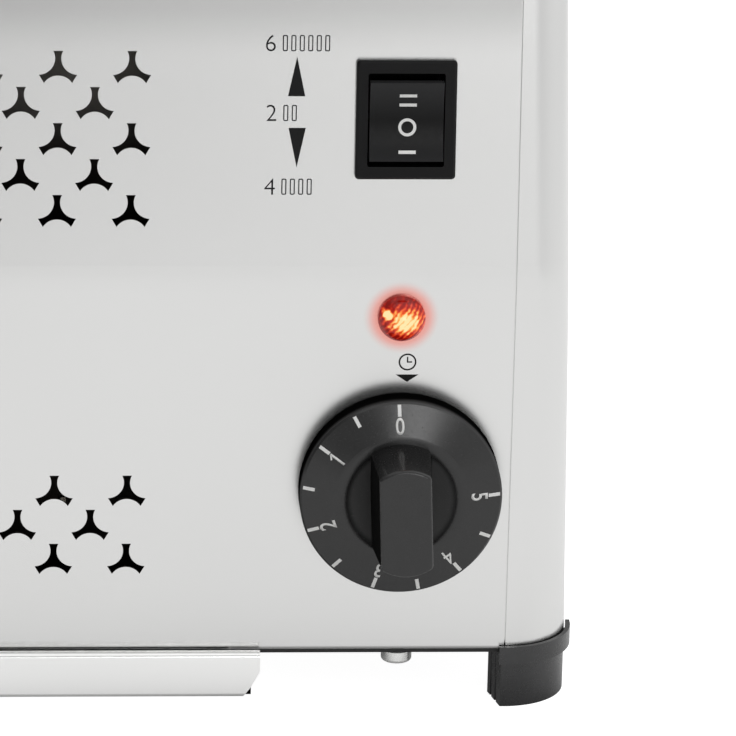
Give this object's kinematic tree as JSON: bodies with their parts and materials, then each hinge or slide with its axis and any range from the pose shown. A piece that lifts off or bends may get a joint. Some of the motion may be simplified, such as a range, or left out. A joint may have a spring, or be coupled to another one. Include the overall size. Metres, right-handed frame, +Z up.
{
  "type": "commercial toaster",
  "caption": "Long countertop toaster with folded steel casing, domed end caps, vented sides, crosswise bread slots, lift lever, dial timer, rocker switch, lamp and pull-out crumb tray.",
  "frame": {"origin": "middle of the whole toaster's outline seen from above, lever and knob included, on the surface that the feet stand on", "axes": "+X along the front towards the control end, the front with the controls faces -Y, +Z up"},
  "size_m": [0.4812, 0.2396, 0.2258],
  "materials": {
    "satin_stainless": "satin",
    "plain_steel_sheet": "mill",
    "base_coat": "powder coat",
    "screw_steel": "bright",
    "rack_steel": "drawn",
    "guard_wire": "drawn",
    "mica": "flaked",
    "resistance_ribbon": "oxidised",
    "brass_strip": "rolled",
    "foot_rubber": "moulded",
    "handle_plastic": "moulded",
    "knob_plastic": "fine texture",
    "switch_plastic": "gloss",
    "lamp_red": "clear gloss",
    "dark_plastic": "moulded",
    "block_plastic": "moulded",
    "wire_insulation": "braided sleeve"
  },
  "bodies": {
    "chassis": {"base_plate": "base_coat", "bread_guard_1": "guard_wire", "bread_guard_2": "guard_wire", "bread_guard_3": "guard_wire", "bread_guard_4": "guard_wire", "bread_guard_5": "guard_wire", "bread_guard_6": "guard_wire", "bus_bars": "brass_strip", "cable_gland": "dark_plastic", "casing_screws": "screw_steel", "chamber_wall_left": "plain_steel_sheet", "chamber_wall_right": "plain_steel_sheet", "foot_front_left": "foot_rubber", "foot_front_right": "foot_rubber", "foot_rear_left": "foot_rubber", "foot_rear_right": "foot_rubber", "foot_screws": "screw_steel", "front_panel": "satin_stainless", "gland_nut": "dark_plastic", "guide_bracket": "plain_steel_sheet", "guide_rods": "screw_steel", "heat_shield_front": "plain_steel_sheet", "heat_shield_rear": "plain_steel_sheet", "heating_windings": "resistance_ribbon", "internal_wires": "wire_insulation", "lamp_body": "dark_plastic", "lamp_lens": "lamp_red", "lamp_nut": "dark_plastic", "left_end_cap": "satin_stainless", "mica_boards": "mica", "rear_panel": "satin_stainless", "right_end_cap": "satin_stainless", "rocker_housing": "switch_plastic", "switch_terminals": "brass_strip", "terminal_block": "block_plastic", "timer_bell": "screw_steel", "timer_case": "dark_plastic", "timer_mounting_plate": "plain_steel_sheet", "timer_screws": "screw_steel", "top_panel": "satin_stainless", "tray_rail_left": "plain_steel_sheet", "tray_rail_right": "plain_steel_sheet"},
    "lift": {"lift_carriage": "plain_steel_sheet", "carriage_bushes": "brass_strip", "lever_arm": "plain_steel_sheet", "lever_handle": "handle_plastic", "bread_rack_1": "rack_steel", "bread_rack_2": "rack_steel", "bread_rack_3": "rack_steel", "bread_rack_4": "rack_steel", "bread_rack_5": "rack_steel", "bread_rack_6": "rack_steel"},
    "timer_dial": {"timer_knob": "knob_plastic", "timer_shaft": "screw_steel"},
    "rocker_key": {"rocker": "switch_plastic"},
    "tray": {"crumb_tray": "satin_stainless"}
  },
  "joints": [
    {"name": "lift_slide", "type": "slide", "parent": "chassis", "child": "lift", "axis": [0, 0, -1], "range_m": [0, 0.07]},
    {"name": "timer_turn", "type": "hinge", "parent": "chassis", "child": "timer_dial", "pos_m": [0.19332, -0.0932, 0.0611], "axis": [0, 1, 0], "range_deg": [0, 270]},
    {"name": "rocker_tilt", "type": "hinge", "parent": "chassis", "child": "rocker_key", "pos_m": [0.19282, -0.0862, 0.15942], "axis": [1, 0, 0], "range_deg": [-10, 10]},
    {"name": "tray_slide", "type": "slide", "parent": "chassis", "child": "tray", "axis": [0, -1, 0], "range_m": [0, 0.15]}
  ]
}
